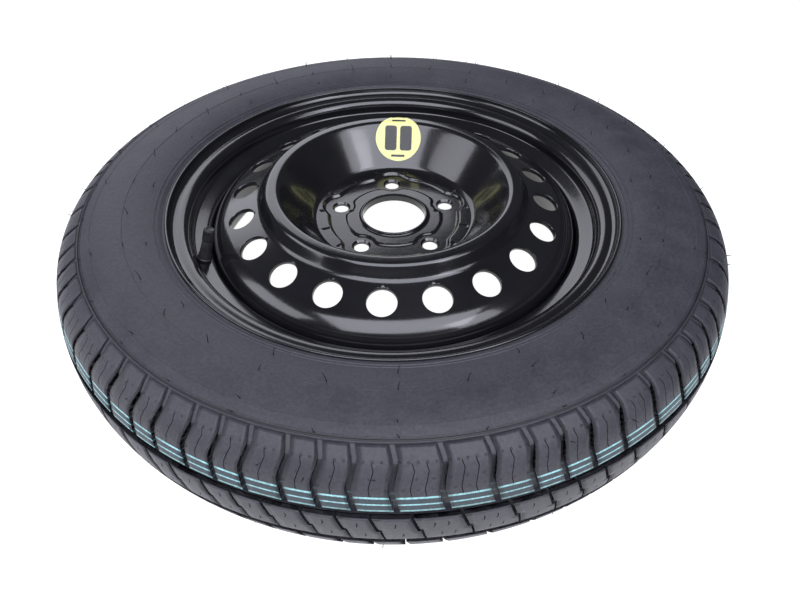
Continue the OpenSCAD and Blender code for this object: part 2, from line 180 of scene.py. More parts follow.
# The tyre's outer surface by the distance across it from the middle of the tread
CROWN_R, SHOULDER_R, WALL_R, LOWER_R = 105.0, 38.0, 70.2, 96.1
TREAD_R = 324.7
CROWN_TURN, SHOULDER_TURN, WALL_TURN, LOWER_TURN = 21.2, 62.0, 90.0, 117.75
CROWN_C = (TREAD_R - CROWN_R, 0.0)
SHOULDER_C = (CROWN_C[0] + (CROWN_R - SHOULDER_R) * math.cos(math.radians(CROWN_TURN)),
              (CROWN_R - SHOULDER_R) * math.sin(math.radians(CROWN_TURN)))
WALL_C = (SHOULDER_C[0] + (SHOULDER_R - WALL_R) * math.cos(math.radians(SHOULDER_TURN)),
          SHOULDER_C[1] + (SHOULDER_R - WALL_R) * math.sin(math.radians(SHOULDER_TURN)))
LOWER_C = (WALL_C[0], MIDDLE - LOWER_R)
STRETCHES = []
reached = 0.0
for centre, radius, start, end in (
        (CROWN_C, CROWN_R, 0, CROWN_TURN),
        (SHOULDER_C, SHOULDER_R, CROWN_TURN, SHOULDER_TURN),
        (WALL_C, WALL_R, SHOULDER_TURN, WALL_TURN),
        (LOWER_C, LOWER_R, WALL_TURN, LOWER_TURN)):
    STRETCHES.append((reached, centre, radius, start))
    reached += math.radians(end - start) * radius


def on_tyre(across, lift=0.0):
    """Radius and height of the point at a distance across the tyre, lifted off its surface."""
    flip = -1 if across < 0 else 1
    across = abs(across)
    begin, centre, radius, start = [s for s in STRETCHES if s[0] <= across][-1]
    angle = math.radians(start) + (across - begin) / radius
    return (centre[0] + (radius + lift) * math.cos(angle),
            flip * (centre[1] + (radius + lift) * math.sin(angle)))


# Height of the carcass over the tread and wall, at distances across the tyre
CARCASS = [
    # Floors of the grooves and slots
    (4, -6.5), (10, -6.5), (15, -6.5), (19, -6.6), (22.6, -6.4), (24, -4.8), (28, -4.5), (33, -4.5),
    (36, -5), (39, -6.2), (44, -6.5), (49, -6.5), (53, -6.2), (57, -3.4), (59.5, -1.4), (62, -1),
    (67, -1), (72, -1), (72.5, -0.2), (73, 0.1), (73.4, 0.1), (73.7, -0.2), (73.9, -1.2), (75.1, -1.2),
    # Fine lines and ridges of the wall
    (75.3, 0), (75.7, 0), (75.8, -0.35), (76, -0.35), (76.1, 0), (76.5, 0), (76.6, -0.3), (76.8, -0.3),
    (76.9, 0), (80, 0), (84.8, 0), (85, 0.25), (85.3, 0.25), (85.5, 0), (90, 0), (95, 0), (101, 0),
    (107, 0), (111.8, 0), (112, 0.3), (112.5, 0.3), (112.7, 0), (118, 0), (124, 0), (130, 0), (135, 0),
    (138.6, 0), (139, 0.5), (139.8, 0.5), (140.2, 0), (142.4, 0), (142.8, 0.6), (143.6, 0.6), (144, 0),
    (145.6, 0)]
LIP_R, LIP_Z, SEAT_R, RIM_HALF, SEAT_W, CURL_R, GAP = 220.3, 53.95, 202.8, 44.45, 14.5, 9.5, 0.1


def tyre_section():
    outside = [on_tyre(v, lift) for v, lift in CARCASS]
    bead = rounded([
        (LIP_R + 2, LIP_Z + 0.5, 0), (LIP_R + GAP, LIP_Z + 0.1, 0), (LIP_R + GAP, RIM_HALF - GAP, CURL_R),
        (SEAT_R + GAP, RIM_HALF - GAP, 7.5), (SEAT_R - 1.2, RIM_HALF - SEAT_W, 0)], 18)
    wall, under_tread = 6, 12
    inside = ([(207.5, 29), (225.3, 41.5)] + arc(LOWER_C, LOWER_R - wall, 112, 94, 3)
              + arc(WALL_C, WALL_R - wall, 90, 78, 2)
              + arc(SHOULDER_C, SHOULDER_R - under_tread, 62, 27, 3)
              + arc(CROWN_C, CROWN_R - under_tread, 21, 4, 2))
    half = outside + bead + inside
    return half + [(r, -z) for r, z in reversed(half)]


# Shoulder slots start at these angles; block lengths come in one run that repeats three times
BLOCK_RUN = [5.05, 4.2, 4.2, 5.05, 4.2, 4.2, 5.05, 6.1, 6.1, 5.05, 4.2, 4.2,
             5.05, 6.1, 6.1, 5.05, 4.2, 4.2, 5.05, 6.1, 6.1, 5.05, 5.05, 4.2]
FIRST_SLOT = 238.3
RUNS = 3
SLOT_MID_R = 318.0
# How far the far side's slots and the centre's slots are turned on from the near side's
OPPOSITE = 5.6
CENTRE_START = 1.63
# How deep the blocks stand in the carcass, and how deep their cuts are
BLOCK_SINK = 7.6
SIPE_DEPTH = 4.5
CRESCENT_DEPTH = 3


def between(table, at):
    """A value read off a table of (place, value) rows, straight between the rows."""
    if at <= table[0][0]:
        return table[0][1]
    for (a, va), (b, vb) in zip(table, table[1:]):
        if at <= b:
            return va + (vb - va) * (at - a) / (b - a)
    return table[-1][1]


# Shoulder blocks: the slot's middle, half its width, and the sipes, by the distance across the tyre
SLOT_PATH = [(20, 0), (40.5, -0.86), (44.5, -0.84), (58, -0.26), (62, -0.24), (72.4, -0.72)]
SLOT_HALF = [(23, 2.15), (44, 2.1), (60, 1.7), (72.4, 1.95)]
SIPE_PATH = [(35.5, -0.78), (42, -1.0), (54.5, -0.42), (60, -0.69)]
SHOULDER_ROWS = [22.95, 25, 28.5, 32, 35.5, 38.5, 41, 43.5, 46.5, 50, 54.5, 57.5, 60, 63, 66.5, 69.5, 72.3]
SIPE_HALF = 0.32
SIPE_ROWS = (35, 60.5)


def degrees_wide(mm, at_r=SLOT_MID_R):
    return math.degrees(mm / at_r)


def shoulder_columns(pitch, across):
    """Angles of a block's columns at one row: its edges, its sipes, and lines between."""
    middle, half = between(SLOT_PATH, across), degrees_wide(between(SLOT_HALF, across))
    left, right = middle + half, pitch + middle - half
    thin = degrees_wide(SIPE_HALF)
    sipe = between(SIPE_PATH, across)
    if pitch > 6:
        cuts = [pitch / 2 + sipe - 0.62, pitch / 2 + sipe + 1.14]
    else:
        cuts = [pitch / 2 + sipe]
    columns = [left]
    for cut in cuts:
        columns += [(columns[-1] + cut) / 2, cut - thin, cut + thin]
    last = columns[-1]
    return columns + [last + (right - last) / 3, last + (right - last) * 2 / 3, right]


# Centre blocks: the edges of the stepped slot on either side, and the crescent cuts
SLOT_RIGHT = [(-15.3, 1.98), (-10, 1.79), (0.95, 1.39), (1.05, 1.07), (15.3, 0.24)]
SLOT_LEFT = [(-15.3, 1.72), (-10, 1.53), (-2.05, 1.24), (-1.95, 0.83), (15.3, -0.16)]
CRESCENTS = [(-15.3, 1.95), (-10, 1.45), (-8.5, 1.6), (-6.5, 1.63), (-5, 1.5), (-1, 1.05),
             (3.5, 0.48), (5, 0.6), (7.5, 0.62), (9, 0.5), (15.3, 0.1)]
CENTRE_ROWS = [-15.3, -12.6, -10, -8.5, -6.5, -5, -2.05, -1.95, 0.95, 1.05, 3.5, 5, 7.5, 9, 12, 15.3]
CRESCENT_HALF = 0.4


def centre_columns(pitch, across):
    left, right = between(SLOT_RIGHT, across), pitch + between(SLOT_LEFT, across)
    thin = degrees_wide(CRESCENT_HALF, TREAD_R)
    middle = pitch / 2 + between(CRESCENTS, across)
    cuts = [middle - 0.85, middle + 0.85] if pitch > 6 else [middle]
    columns = [left]
    for cut in cuts:
        columns += [(columns[-1] + cut) / 2, cut - thin, cut + thin]
    return columns + [(columns[-1] + right) / 2, right]


def flat_block(name, pitch, rows, columns_at, cut_rows, sink, cut_depth):
    """One tread block, flat: a grid laid on its rows and columns, cut, given walls and a closed foot."""
    across = len(columns_at(pitch, rows[0]))
    bpy.ops.object.select_all(action="DESELECT")
    bpy.ops.mesh.primitive_grid_add(x_subdivisions=across - 1, y_subdivisions=len(rows) - 1, size=1)
    block = named(name)
    table = [columns_at(pitch, v) for v in rows]
    for vertex in block.data.vertices:
        i, j = round((vertex.co.x + 0.5) * (across - 1)), round((vertex.co.y + 0.5) * (len(rows) - 1))
        vertex.co = (math.radians(table[j][i]) * SLOT_MID_R, rows[j], 0)
    editing(block)
    bpy.ops.mesh.select_all(action="SELECT")
    bpy.ops.mesh.extrude_region_move(TRANSFORM_OT_translate={"value": (0, 0, -sink)})
    bpy.ops.mesh.select_all(action="SELECT")
    bpy.ops.mesh.normals_make_consistent(inside=False)
    select_where(block, lambda centre, normal: normal.z < -0.9)
    bpy.ops.mesh.dissolve_faces()
    # The top's outline gets a small rounding before the sipes are cut
    done()
    for edge in block.data.edges:
        ends = [block.data.vertices[k].co for k in edge.vertices]
        edge.select = all(abs(end.z) < 1e-6 for end in ends) and edge.key in outline_keys(block)
    for face in block.data.polygons:
        face.select = False
    bpy.context.tool_settings.mesh_select_mode = (False, True, False)
    bpy.ops.object.mode_set(mode="EDIT")
    bpy.ops.mesh.bevel(offset=0.35, segments=2, affect="EDGES", clamp_overlap=True)
    bpy.context.tool_settings.mesh_select_mode = (False, False, True)

    def in_cut(centre, normal):
        if normal.z < 0.9 or not cut_rows(centre.y):
            return False
        row = columns_at(pitch, centre.y)
        angle = math.degrees(centre.x / SLOT_MID_R)
        return any(row[k] < angle < row[k + 1] for k in range(2, across - 2, 3))

    select_where(block, in_cut)
    bpy.ops.mesh.extrude_region_move(TRANSFORM_OT_translate={"value": (0, 0, -cut_depth)})
    done()
    return block


def outline_keys(block):
    """Edges between a top face and a wall."""
    sides = {}
    for face in block.data.polygons:
        for key in face.edge_keys:
            sides.setdefault(key, []).append(abs(face.normal.z) > 0.9)
    return {key for key, kinds in sides.items() if len(kinds) == 2 and kinds[0] != kinds[1]}


def wrapped(block, start, pitch, opposite=False):
    """A copy of a flat block, bent round the tyre from an angle on, its flat places kept as attributes."""
    copy = bpy.data.objects.new(block.name, block.data.copy())
    bpy.context.scene.collection.objects.link(copy)
    mesh = copy.data
    across = mesh.attributes.new("across", "FLOAT", "POINT")
    place = mesh.attributes.new("on_block", "FLOAT_VECTOR", "POINT")
    for i, vertex in enumerate(mesh.vertices):
        x, v, lift = vertex.co
        along = math.degrees(x / SLOT_MID_R)
        place.data[i].vector = (x - math.radians(pitch / 2) * SLOT_MID_R, v, lift)
        if opposite:
            angle, v = math.radians(start + pitch - along + OPPOSITE), -v
        else:
            angle = math.radians(start + along)
        r, z = on_tyre(v, lift)
        vertex.co = (r * MM * math.cos(angle), r * MM * math.sin(angle), (z + MIDDLE) * MM)
        across.data[i].value = v
    return copy


def make_tyre():
    carcass = turned("tyre_moulding", tyre_section(), 240)
    across = carcass.data.attributes.new("across", "FLOAT", "POINT")
    place = carcass.data.attributes.new("on_block", "FLOAT_VECTOR", "POINT")
    outside = [(v, on_tyre(v, lift)) for v, lift in CARCASS]
    for i, vertex in enumerate(carcass.data.vertices):
        r, z = math.hypot(vertex.co.x, vertex.co.y) / MM, vertex.co.z / MM - MIDDLE
        v = min(outside, key=lambda row: (row[1][0] - r) ** 2 + (row[1][1] - abs(z)) ** 2)[0]
        across.data[i].value = v if z > 0 else -v
        place.data[i].vector = (0, v, -5 if v < 72.5 else 0)
    lengths = sorted(set(BLOCK_RUN))
    shoulders = {p: flat_block("shoulder", p, SHOULDER_ROWS, shoulder_columns,
                               lambda v: SIPE_ROWS[0] < v < SIPE_ROWS[1], BLOCK_SINK, SIPE_DEPTH)
                 for p in lengths}
    centres = {p: flat_block("centre", p, CENTRE_ROWS, centre_columns,
                             lambda v: -10 < v < -5 or 3.5 < v < 9, BLOCK_SINK, CRESCENT_DEPTH)
               for p in lengths}
    share = 360 / RUNS / sum(BLOCK_RUN)
    pieces = [carcass]
    angle = FIRST_SLOT
    for pitch in BLOCK_RUN * RUNS:
        pieces += [wrapped(shoulders[pitch], angle, pitch),
                   wrapped(shoulders[pitch], angle, pitch, True),
                   wrapped(centres[pitch], angle + CENTRE_START, pitch)]
        angle += pitch * share
    for block in list(shoulders.values()) + list(centres.values()):
        bpy.data.objects.remove(block)
    tyre = join(pieces, "tyre_moulding")
    smooth(tyre, 32)
    apply_modifier(tyre, "WEIGHTED_NORMAL", mode="FACE_AREA", weight=80, keep_sharp=True)
    return tyre


# Disc: the levels of its pressed steps, and the path of its outer face from the bolt pad to the skirt
DISC_T, PAD_Z, COLLAR_Z, RING_Z = 4.0, 21.9, 23.4, 25.0
BOLT_R, BORE_R, LOBE_R, PAD_OUT_R, PAD_IN_R = 57.15, 32.05, 18.0, 66.15, 48.65
BOLT_COUNT, FIRST_BOLT, BOLT_STEP = 5, 92.0, 72
DENTS, DENT_R = (169.8, 9.2), 44.6
VENT_COUNT, FIRST_VENT, VENT_CIRCLE_R, VENT_Z, VENT_R, VENT_SLOPE = 20, 266.0, 150.9, 46.9, 13.0, 20.1
CROWN_MID_R, CROWN_Z, CROWN_HALF = 119.0, 66.0, 5.5
SKIRT_R, SKIRT_H, SKIRT_BEND_R = 183.25, 40.0, 28.0
FOOT_R = BOLT_R + LOBE_R + 6


def slope_z(r):
    return VENT_Z - (r - VENT_CIRCLE_R) * math.tan(math.radians(VENT_SLOPE))


DISC_PATH = rounded([
    (71, RING_Z, 0), (FOOT_R, RING_Z, 10), (CROWN_MID_R - CROWN_HALF, CROWN_Z, 7),
    (CROWN_MID_R + CROWN_HALF, CROWN_Z, 6), (CROWN_MID_R + 13.5, slope_z(CROWN_MID_R + 13.5), 9),
    (SKIRT_R, slope_z(SKIRT_R), SKIRT_BEND_R), (SKIRT_R, slope_z(SKIRT_R) - SKIRT_H, 0)], 6)[1:]
bolts = [(BOLT_R * math.cos(math.radians(FIRST_BOLT + BOLT_STEP * i)),
          BOLT_R * math.sin(math.radians(FIRST_BOLT + BOLT_STEP * i))) for i in range(BOLT_COUNT)]


def blended_min(values, width):
    """The least of some distances, with a soft change from one to the next."""
    least = min(values)
    return least - width * math.log(sum(math.exp(-(v - least) / width) for v in values))


def step_up(distance, width):
    t = max(0.0, min(1.0, distance / width + 0.5))
    return t * t * (3 - 2 * t)


def pad_level(x, y):
    """Height of the hub's pressed face: the lobed pad, its collar, the ring outside and the coined marks."""
    r = math.hypot(x, y)
    to_bolts = [math.hypot(x - bx, y - by) for bx, by in bolts]
    outer = blended_min([r - PAD_OUT_R] + [d - LOBE_R for d in to_bolts], 1.4)
    inner = -blended_min([PAD_IN_R - r] + [d - LOBE_R + 4 for d in to_bolts], 1.2)
    z = PAD_Z + (RING_Z - PAD_Z) * step_up(outer, 3.2) + (COLLAR_Z - PAD_Z) * step_up(-inner, 2.4)
    angle = math.degrees(math.atan2(y, x))
    mark = 360 / (3 * BOLT_COUNT)
    side = abs(math.radians((angle - FIRST_BOLT) % mark - mark / 2)) * r
    if side < 1.6 and 65 < r < 79 and outer > 0.5:
        z -= 0.7 * (1 - step_up(side - 0.8, 1.2)) * step_up(outer - 2, 2) * (1 - step_up(r - 76.5, 3))
    # Two small dents where the pad meets the collar
    for turned_by in DENTS:
        at = math.radians(turned_by)
        away = math.hypot(x - DENT_R * math.cos(at), y - DENT_R * math.sin(at))
        if away < 3:
            z -= 1.1 * (1 - step_up(away - 1.6, 2.4))
    return z


def make_disc():
    top_lip = PAD_Z + 4.1
    bore = ([(BORE_R, PAD_Z - DISC_T), (BORE_R, PAD_Z), (BORE_R, top_lip - 0.7),
             (BORE_R + 0.25, top_lip - 0.2), (BORE_R + 0.8, top_lip)]
            + arc((BORE_R + 1.5, top_lip - 1), 1, 80, 0, 4)
            + arc((BORE_R + 4.5, COLLAR_Z + 2), 2, 180, 264, 4))
    flat = [(r, RING_Z) for r in [37.6, 39] + [40 + 0.9 * k for k in range(41)]]
    upper = flat + parted(DISC_PATH, 3.4)
    lower = beside(upper, DISC_T)
    under = [(r, z) for r, z in reversed(lower) if r > 39]
    section = bore + upper + under + [(37.5, COLLAR_Z - DISC_T), (35.5, PAD_Z - DISC_T)]
    disc = turned("disc_pressing", section, 360)
    for vertex in disc.data.vertices:
        x, y = vertex.co.x / MM, vertex.co.y / MM
        if 37.55 < math.hypot(x, y) < 79.4:
            vertex.co.z += (pad_level(x, y) - RING_Z) * MM
    return disc


def placed(name, section, place, steps):
    """A closed section, spun about its own axis and put in its place."""
    piece = spun(name, section, steps)
    piece.data.transform(place)
    return piece


def turn(degrees, axis):
    return Matrix.Rotation(math.radians(degrees), 4, axis)


def shift(x, y, z):
    return Matrix.Translation((x * MM, y * MM, z * MM))


def cut(piece, cutters):
    tool = join(cutters, "cutter")
    apply_modifier(piece, "BOOLEAN", object=tool, operation="DIFFERENCE", solver="EXACT")
    bpy.data.objects.remove(tool)


# A radius that stands for the axis in a spun section
AXIS = 0.001


def cut_disc(disc):
    cutters = []
    vent = [(AXIS, -12), (VENT_R + 1.2, -12), (VENT_R, -5.2), (VENT_R, -1.3), (VENT_R + 0.15, -0.6),
            (VENT_R + 0.5, -0.1), (VENT_R + 1.1, 0.3), (VENT_R + 3, 1), (VENT_R + 3, 9), (AXIS, 9)]
    for i in range(VENT_COUNT):
        place = (turn(FIRST_VENT + i * 360 / VENT_COUNT, "Z") @ shift(VENT_CIRCLE_R, 0, VENT_Z + MIDDLE)
                 @ turn(VENT_SLOPE, "Y"))
        cutters.append(placed("vent", vent, place, 64))
    bolt = [(AXIS, -8), (7.9, -8), (7.3, -4.4), (7.3, -1.9), (9.3, 0.05), (9.9, 0.25), (10.4, 0.3),
            (10.4, 9), (AXIS, 9)]
    for i in range(BOLT_COUNT):
        place = turn(FIRST_BOLT + BOLT_STEP * i, "Z") @ shift(BOLT_R, 0, PAD_Z + MIDDLE)
        cutters.append(placed("bolt_hole", bolt, place, 48))
    cut(disc, cutters)
    clean(disc)
    smooth(disc, 35)
    true_normals(disc)


def true_normals(disc):
    """The cut leaves long thin faces, so the gloss follows the sheet's own slope round each hole."""
    mesh = disc.data
    slope = math.radians(VENT_SLOPE)
    wanted = [(0.0, 0.0, 0.0)] * len(mesh.loops)
    for face in mesh.polygons:
        r = math.hypot(face.center.x, face.center.y) / MM
        out = unit(face.center.x, face.center.y)
        level = (out[0] * math.sin(slope), out[1] * math.sin(slope), math.cos(slope))
        facing = sum(a * b for a, b in zip(level, face.normal))
        for loop in face.loop_indices:
            x, y, _ = mesh.vertices[mesh.loops[loop].vertex_index].co
            at_r = math.hypot(x, y) / MM
            if 138.5 < r < 164.6 and 138.5 < at_r < 164.9 and abs(facing) > 0.985:
                ux, uy = unit(x, y)
                sign = 1 if facing > 0 else -1
                lean = sign * math.sin(slope)
                wanted[loop] = (lean * ux, lean * uy, sign * math.cos(slope))
            elif 38 < r < 79 and abs(face.normal.z) > 0.9 and abs(pad_slope(x / MM, y / MM)) < 0.02:
                wanted[loop] = (0.0, 0.0, 1.0 if face.normal.z > 0 else -1.0)
    mesh.normals_split_custom_set(wanted)


def pad_slope(x, y):
    reach = 0.4
    return max(abs(pad_level(x + reach, y) - pad_level(x - reach, y)),
               abs(pad_level(x, y + reach) - pad_level(x, y - reach))) / (2 * reach)


# Rim: one rolled sheet from lip to lip
RIM_T = 2.8
WELL_R = 186.1
SEAT_END = (201.53, 29.95)
SHELF_SLOPE, WELL_LOW_Z = 20.0, -25.95
SHELF_END_Z = SEAT_END[1] - (SEAT_END[0] - WELL_R) * math.tan(math.radians(SHELF_SLOPE))
VALVE_TURN, VALVE_R, VALVE_FOOT = 203.0, 192.358, 29.591


def rim_section():
    path = rounded([
        (LIP_R, LIP_Z + 0.6, 0), (LIP_R, RIM_HALF, CURL_R), (SEAT_R, RIM_HALF, 6.5),
        (SEAT_END[0], SEAT_END[1], 6), (WELL_R, SHELF_END_Z, 4), (WELL_R, WELL_LOW_Z, 8),
        (SEAT_END[0], -SEAT_END[1], 8), (SEAT_R, -RIM_HALF, 6.5), (LIP_R, -RIM_HALF, CURL_R),
        (LIP_R, -LIP_Z - 0.6, 0)], 8)
    path = parted(path, 6)
    other = beside(path, RIM_T)
    return path, other


def valve_place():
    return turn(VALVE_TURN, "Z") @ shift(VALVE_R, 0, VALVE_FOOT + MIDDLE) @ turn(-SHELF_SLOPE, "Y")


def make_rim():
    path, other = rim_section()
    top, low = path[0], path[-1]
    # Both lips are rounded over
    top_lip = arc(((top[0] + other[0][0]) / 2, top[1] - 0.3), RIM_T / 2, 180, 0, 6)
    low_lip = arc(((low[0] + other[-1][0]) / 2, low[1] + 0.3), RIM_T / 2, 0, -180, 6)
    outer = path[1:-1]
    inner = other[1:-1][::-1]
    start = top_lip if path[0][0] > other[0][0] else top_lip[::-1]
    end = low_lip if path[-1][0] > other[-1][0] else low_lip[::-1]
    section = start + outer + end + inner
    rim = turned("rim_barrel", section, 300)
    hole = [(AXIS, -12), (5.75, -12), (5.75, 9), (AXIS, 9)]
    cut(rim, [placed("valve_hole", hole, valve_place(), 32)])
    clean(rim)
    smooth(rim, 35)
    return rim


def make_welds():
    """Eight fillet runs that join the skirt's foot to the well, each with the ripples of its weld."""
    random.seed(11)
    beads = []
    count, sweep, leg = 8, 28.0, 4.0
    foot = slope_z(SKIRT_R) - SKIRT_H
    for i in range(count):
        ring = [(SKIRT_R, 0.0)] + arc((SKIRT_R + 1.4, 1.35), leg + 1.4, 194, 257, 7)
        steps = 110
        bpy.ops.object.select_all(action="DESELECT")
        bpy.ops.mesh.primitive_circle_add(vertices=len(ring), radius=1, fill_type="NGON")
        bead = named("weld")
        first = math.radians((i + 0.5) * 45 - sweep / 2)
        for vertex, (r, z) in zip(bead.data.vertices, ring):
            vertex.co = (r * MM * math.cos(first), r * MM * math.sin(first), (z + foot + MIDDLE) * MM)
        editing(bead)
        bpy.ops.mesh.select_all(action="SELECT")
        bpy.ops.mesh.spin(steps=steps, angle=math.radians(sweep), center=(0, 0, 0), axis=(0, 0, 1))
        done()
        clean(bead)
        wander = [random.uniform(-0.25, 0.25) for _ in range(9)]
        for vertex in bead.data.vertices:
            angle = math.degrees(math.atan2(vertex.co.y, vertex.co.x)) % 360
            along = (angle - math.degrees(first) % 360) / sweep
            end = min(1.0, min(along, 1 - along) * 12 + 0.12)
            drift = between([(k / 8, w) for k, w in enumerate(wander)], along)
            ripple = 0.32 * abs(math.sin(along * 31 * math.pi)) + drift
            r, z = math.hypot(vertex.co.x, vertex.co.y), vertex.co.z - (foot + MIDDLE) * MM
            away = math.hypot(r - SKIRT_R * MM, z) / MM
            if away > 0.5:
                grow = max(0.2, end * (away + ripple * min(1, away / 3)) / away)
                new_r, new_z = SKIRT_R * MM + (r - SKIRT_R * MM) * grow, z * grow
                vertex.co = (new_r * math.cos(math.radians(angle)), new_r * math.sin(math.radians(angle)),
                             new_z + (foot + MIDDLE) * MM)
        beads.append(bead)
    welds = join(beads, "weld_beads")
    smooth(welds, 50)
    return welds


def at_valve(name, section, steps):
    """A closed section, spun about the valve's own axis and put on the rim."""
    return placed(name, section, valve_place(), steps)


def make_valve_body():
    bulge = arc((5.5, 1.75), 1.4, 285, 420, 9)
    section = ([(3.0, -9.8), (4.25, -9.8), (4.25, -11), (5.2, -11), (5.8, -10.4), (6.65, -6.4), (6.7, -5),
                (6.65, -4.4), (6.0, -3.8), (5.7, -3.7), (5.7, 0.35)] + bulge
               + [(6.05, 5.2), (5.85, 6.6), (5.5, 8), (5.25, 12), (5.0, 16), (4.88, 20.4), (4.7, 21.1),
                  (4.3, 21.35), (3.0, 21.4)])
    body = at_valve("valve_rubber", section, 64)
    smooth(body, 40)
    return body


def make_cap():
    """The ribbed cap: a wall spun, then pushed in between its ribs."""
    low, high = 22.0, 34.0
    section = [(4.43, low), (4.9, low), (5.15, low + 0.3), (5.2, low + 0.8), (5.2, low + 2.1),
               (5.2, low + 2.5), (5.2, low + 5), (5.2, low + 8), (5.2, high - 1.9), (5.1, high - 1.4),
               (4.8, high - 0.7), (4.2, high - 0.2), (3.4, high), (2.9, high - 0.25), (AXIS, high - 0.25),
               (AXIS, high - 1.5), (3.93, high - 1.5), (3.93, low + 0.5)]
    cap = at_valve("cap_moulding", section, 96)
    inverse = valve_place().inverted()
    forward = valve_place()
    ribs = 16
    for vertex in cap.data.vertices:
        at = inverse @ vertex.co
        around, height = math.atan2(at.y, at.x), at.z / MM
        radius = math.hypot(at.x, at.y) / MM
        if radius > 4.7 and height > low + 2.3:
            wave = (0.5 + 0.5 * math.cos(around * ribs)) ** 0.7
            fade = min(1.0, (height - low - 2.3) / 0.6)
            depth = 0.5 * (1 - wave) * fade
            scale = (radius - depth) / radius
            at.x, at.y = at.x * scale, at.y * scale
            vertex.co = forward @ at
    smooth(cap, 42)
    return cap


# Label: a thin film on the bowl's wall, round when seen square to the wall, its top bent over the crown
LABEL_TURN, LABEL_R, LABEL_Z, LABEL_SLOPE, LABEL_HALF = 87.0, 102.5, 52.06, 51.73, 25.0


def disc_face(offset):
    return parted(beside(DISC_PATH, -offset), 0.7)


def make_label():
    face = [p for p in disc_face(0.4) if 80 < p[0] < 128]
    cosine, sine = math.cos(math.radians(LABEL_SLOPE)), math.sin(math.radians(LABEL_SLOPE))

    rings, spokes = 26, 96
    bpy.ops.object.select_all(action="DESELECT")
    bpy.ops.mesh.primitive_circle_add(vertices=spokes, radius=LABEL_HALF, fill_type="NGON")
    label = named("label_film")
    editing(label)
    for k in range(rings - 1):
        bpy.ops.mesh.inset(thickness=LABEL_HALF / rings, depth=0)
    bpy.ops.mesh.poke()
    done()
    uv = label.data.uv_layers.new(name="print")
    flat = [(v.co.x, v.co.y) for v in label.data.vertices]
    for loop in label.data.loops:
        x, y = flat[loop.vertex_index]
        uv.data[loop.index].uv = (x / (2 * LABEL_HALF) + 0.5, y / (2 * LABEL_HALF) + 0.5)
    place = turn(LABEL_TURN, "Z")
    for vertex, (x, y) in zip(label.data.vertices, flat):
        forward, side, z = smooth_face(face, -x, y, cosine, sine)
        vertex.co = place @ Vector((forward * MM, side * MM, (z + MIDDLE) * MM))
    apply_modifier(label, "SOLIDIFY", thickness=0.0003, offset=-1)
    smooth(label, 40)
    return label


def smooth_face(face, side, up, cosine, sine):
    """The point of the disc's face that lies square under a place on the label."""
    rows = []
    for r, z in face:
        forward = math.sqrt(r * r - side * side)
        rows.append(((forward - LABEL_R) * cosine + (z - LABEL_Z) * sine, forward, z))
    for (s0, f0, z0), (s1, f1, z1) in zip(rows, rows[1:]):
        if s0 <= up <= s1:
            t = (up - s0) / (s1 - s0)
            return f0 + (f1 - f0) * t, side, z0 + (z1 - z0) * t
    last = rows[0] if up < rows[0][0] else rows[-1]
    return last[1], side, last[2]


# Vent spews: thin rubber hairs left by the mould, in columns round both walls
HAIR_COLUMNS = 32
HAIR_ROWS = [(76.5, 5.0, 1), (87, 6.0, 2), (113, 6.5, 2), (116.5, 7.5, -2), (131.5, 5.5, 2)]


def make_hairs():
    random.seed(7)
    bpy.ops.object.select_all(action="DESELECT")
    bpy.ops.mesh.primitive_cone_add(vertices=5, radius1=0.42, radius2=0.26, depth=1, end_fill_type="NGON")
    model = named("hair")
    model.data.transform(Matrix.Translation((0, 0, 0.5)))
    editing(model)
    for height in (0.25, 0.5, 0.75):
        bpy.ops.mesh.select_all(action="SELECT")
        bpy.ops.mesh.bisect(plane_co=(0, 0, height), plane_no=(0, 0, 1))
    done()
    hairs = []
    for side in (1, -1):
        for column in range(HAIR_COLUMNS):
            for across, length, every in HAIR_ROWS:
                if every > 0 and column % every or every < 0 and (column + 1) % -every:
                    continue
                turn_at = 248 + column * 360 / HAIR_COLUMNS + random.uniform(-0.25, 0.25)
                hairs.append(grown(model, turn_at, side * (across + random.uniform(-0.6, 0.6)),
                                   length * random.uniform(0.55, 1.3)))
        for _ in range(26):
            hairs.append(grown(model, random.uniform(0, 360), side * random.uniform(45, 58),
                               random.uniform(2, 5)))
    bpy.data.objects.remove(model)
    whole = join(hairs, "vent_hairs")
    smooth(whole, 60)
    return whole


def grown(model, degrees, across, length):
    """A copy of the model hair, stretched, bent over a little and stood on the tyre."""
    hair = bpy.data.objects.new("hair", model.data.copy())
    bpy.context.scene.collection.objects.link(hair)
    r, z = on_tyre(across, -0.3)
    r1, z1 = on_tyre(across, 0.7)
    up = Vector((r1 - r, 0, z1 - z)).normalized()
    around = Vector((0, 1, 0))
    down = around.cross(up)
    lean = random.uniform(-0.5, 0.5)
    sway = random.uniform(-0.45, 0.45)
    frame_turn = turn(degrees, "Z")
    for vertex in hair.data.vertices:
        x, y, t = vertex.co
        bend = t * t * length
        height = t * length * (1 - 0.15 * lean * lean)
        place = Vector((r, 0, z + MIDDLE)) + up * height + around * (x + lean * bend)
        place += down * (y + sway * bend)
        # A hair under the wheel is pressed flat on what it lies on
        place.z = max(place.z, 0.2 + 0.3 * (y + 0.3))
        vertex.co = frame_turn @ (place * MM)
    return hair


# Materials
def fresh(name):
    material = bpy.data.materials.new(name)
    material.use_nodes = True
    tree = material.node_tree
    return material, tree, tree.nodes["Principled BSDF"]


def add(tree, kind, inputs=None, **settings):
    """A node with its settings, and its inputs set or linked."""
    node = tree.nodes.new(kind)
    for key, value in settings.items():
        setattr(node, key, value)
    for key, value in (inputs or {}).items():
        if isinstance(value, bpy.types.NodeSocket):
            tree.links.new(value, node.inputs[key])
        else:
            node.inputs[key].default_value = value
    return node


def calc(tree, operation, a, b=0.0, c=0.0):
    return add(tree, "ShaderNodeMath", {0: a, 1: b, 2: c}, operation=operation).outputs[0]


